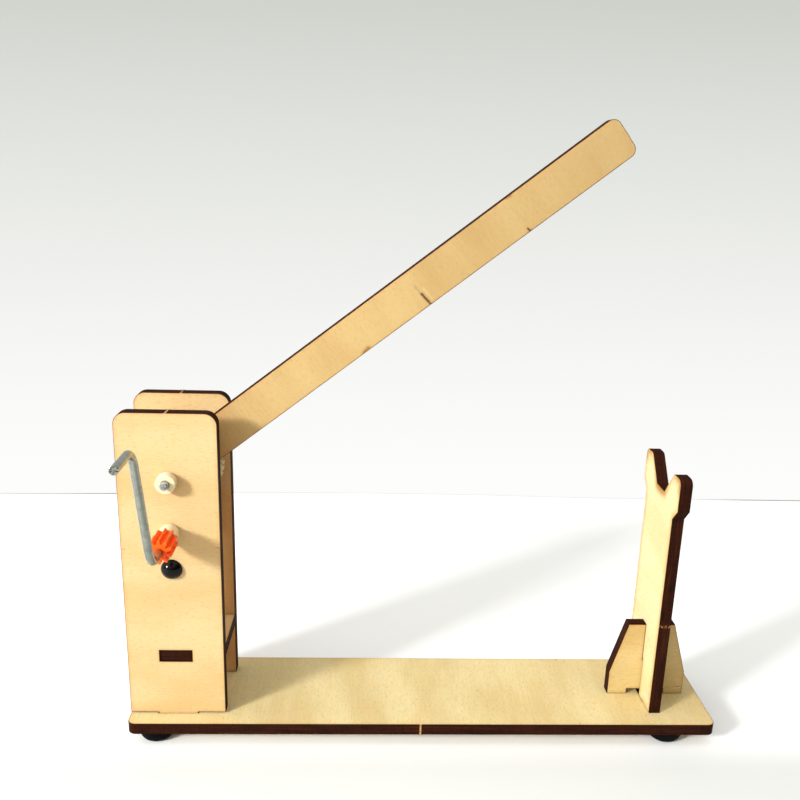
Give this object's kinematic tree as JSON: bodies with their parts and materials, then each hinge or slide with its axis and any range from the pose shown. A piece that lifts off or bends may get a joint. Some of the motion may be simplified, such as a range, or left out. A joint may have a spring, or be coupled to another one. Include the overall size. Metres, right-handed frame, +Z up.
{
  "type": "hand cranked boom barrier kit",
  "caption": "Small plywood boom barrier: a hand crank turns a pinion and gear that raise a long boom from a forked rest.",
  "frame": {"origin": "under the middle of the whole assembly, crank included, on the surface that it stands on", "axes": "+X along the base from the tower to the fork rest, +Y from the crank side to the back, +Z up"},
  "size_m": [0.15, 0.0561, 0.1543],
  "materials": {
    "birch_ply": "bare sanded plywood with laser-burnt edges",
    "tan_ply": "bare sanded plywood, slightly darker, with laser-burnt edges",
    "black_rubber": "soft matte",
    "black_nylon": "glossy moulded",
    "white_plastic": "satin moulded, slightly translucent",
    "orange_plastic": "satin moulded",
    "steel_rod": "bright ground rod",
    "zinc_wire": "dull zinc-plated wire"
  },
  "bodies": {
    "frame": {"base_plate": "birch_ply", "front_panel": "birch_ply", "rear_panel": "birch_ply", "cross_plate": "birch_ply", "rest_post": "birch_ply", "rest_brace": "birch_ply", "foot_front_left": "black_rubber", "foot_front_right": "black_rubber", "foot_rear_left": "black_rubber", "foot_rear_right": "black_rubber", "rivet_plug": "black_nylon", "rivet_socket": "black_nylon"},
    "boom_arm": {"boom": "tan_ply", "boom_shaft": "steel_rod", "boom_gear": "white_plastic", "boom_spacer": "white_plastic", "boom_sleeve_front": "white_plastic", "boom_sleeve_rear": "white_plastic"},
    "crank": {"crank_handle": "zinc_wire", "outer_pinion": "orange_plastic", "drive_pinion": "orange_plastic", "crank_sleeve_front": "white_plastic", "crank_sleeve_rear": "white_plastic"}
  },
  "joints": [
    {"name": "boom_pivot", "type": "hinge", "parent": "frame", "child": "boom_arm", "pos_m": [-0.063, 0.01305, 0.06967], "axis": [0, -1, 0], "range_deg": [-37.4, 52]},
    {"name": "crank_spin", "type": "hinge", "parent": "frame", "child": "crank", "pos_m": [-0.063, 0.01305, 0.05647], "axis": [0, -1, 0], "range_deg": [-220, 159]}
  ],
  "couplings": [
    {"joint": "crank_spin", "follows": "boom_pivot", "ratio": -4.2}
  ]
}
